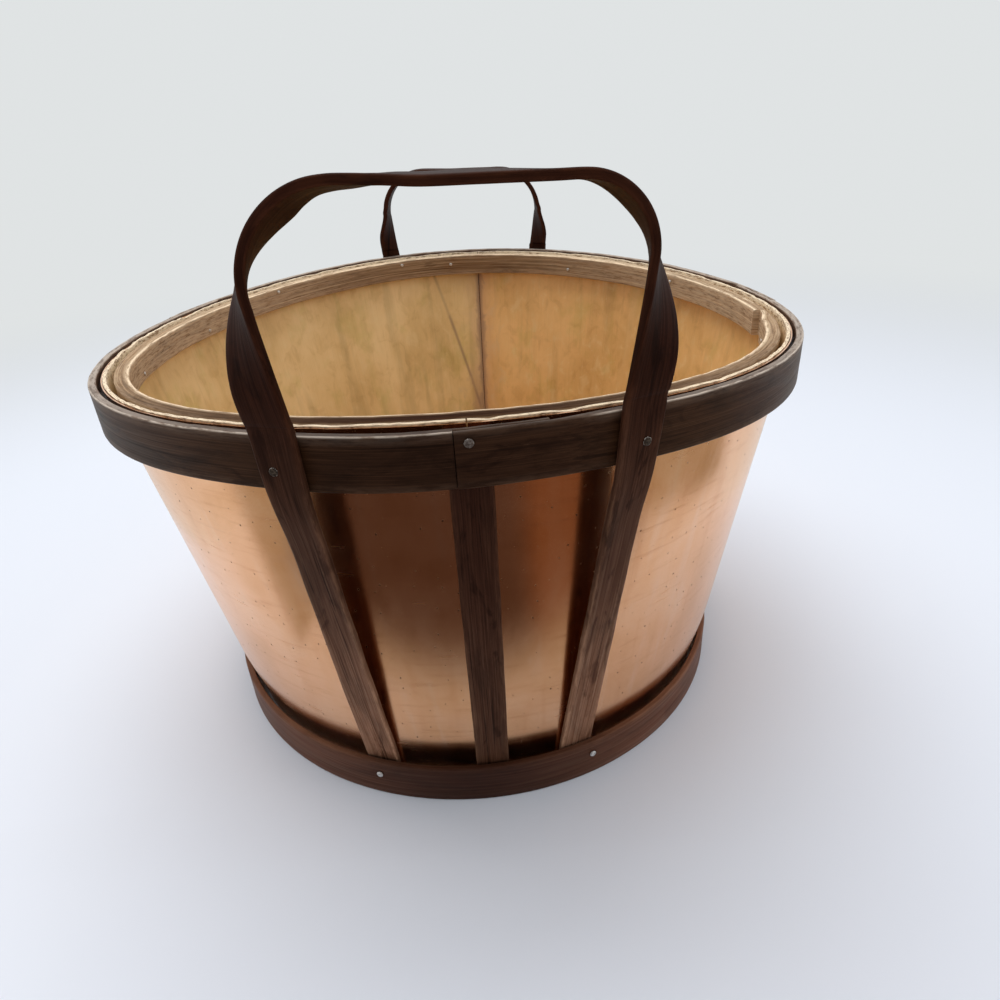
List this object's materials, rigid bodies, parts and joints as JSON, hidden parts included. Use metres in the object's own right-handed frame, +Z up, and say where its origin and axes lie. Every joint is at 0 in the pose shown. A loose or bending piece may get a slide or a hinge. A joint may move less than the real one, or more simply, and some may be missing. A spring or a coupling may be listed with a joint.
{
  "type": "harvest basket",
  "caption": "Round tapered harvest basket of wood veneer clad in polished copper, with stained bent-wood hoops, seam battens and bent strip handles.",
  "frame": {"origin": "on the floor, on the basket's axis", "axes": "+Z up, -Y towards the front, where the taller handle is"},
  "size_m": [0.4352, 0.4493, 0.3479],
  "materials": {
    "stained_wood": "dark stained, worn to grey-brown",
    "weathered_wood": "weathered, raised grain",
    "wood_veneer": "golden, smooth",
    "board_wood": "plain sawn",
    "polished_copper": "polished copper sheet",
    "nail_steel": "dull nail heads"
  },
  "bodies": {
    "root": {"front_stave": "stained_wood", "back_stave": "stained_wood", "rim_hoop_front_left": "stained_wood", "rim_hoop_front_right": "stained_wood", "rim_hoop_back": "stained_wood", "bottom_hoop": "stained_wood", "front_handle": "stained_wood", "rear_handle": "stained_wood", "veneer_lining_left": "wood_veneer", "veneer_lining_right": "wood_veneer", "copper_sheet_left": "polished_copper", "copper_sheet_right": "polished_copper", "rim_hoop_inner": "weathered_wood", "bottom_board": "board_wood", "rim_lap_nail_front": "nail_steel", "rim_lap_nail_right": "nail_steel", "rim_lap_nail_left": "nail_steel", "leg_nail_front_a": "nail_steel", "leg_nail_front_b": "nail_steel", "leg_nail_rear_a": "nail_steel", "leg_nail_rear_b": "nail_steel", "foot_nail_front_a": "nail_steel", "foot_nail_front_b": "nail_steel", "foot_nail_rear_a": "nail_steel", "foot_nail_rear_b": "nail_steel", "base_lap_nail_a": "nail_steel", "base_lap_nail_b": "nail_steel", "rim_brad_01": "nail_steel", "rim_brad_02": "nail_steel", "rim_brad_03": "nail_steel", "rim_brad_04": "nail_steel", "rim_brad_05": "nail_steel", "rim_brad_06": "nail_steel", "rim_brad_07": "nail_steel", "rim_brad_08": "nail_steel", "rim_brad_09": "nail_steel", "rim_brad_10": "nail_steel", "rim_brad_11": "nail_steel", "rim_brad_12": "nail_steel"}
  },
  "joints": []
}
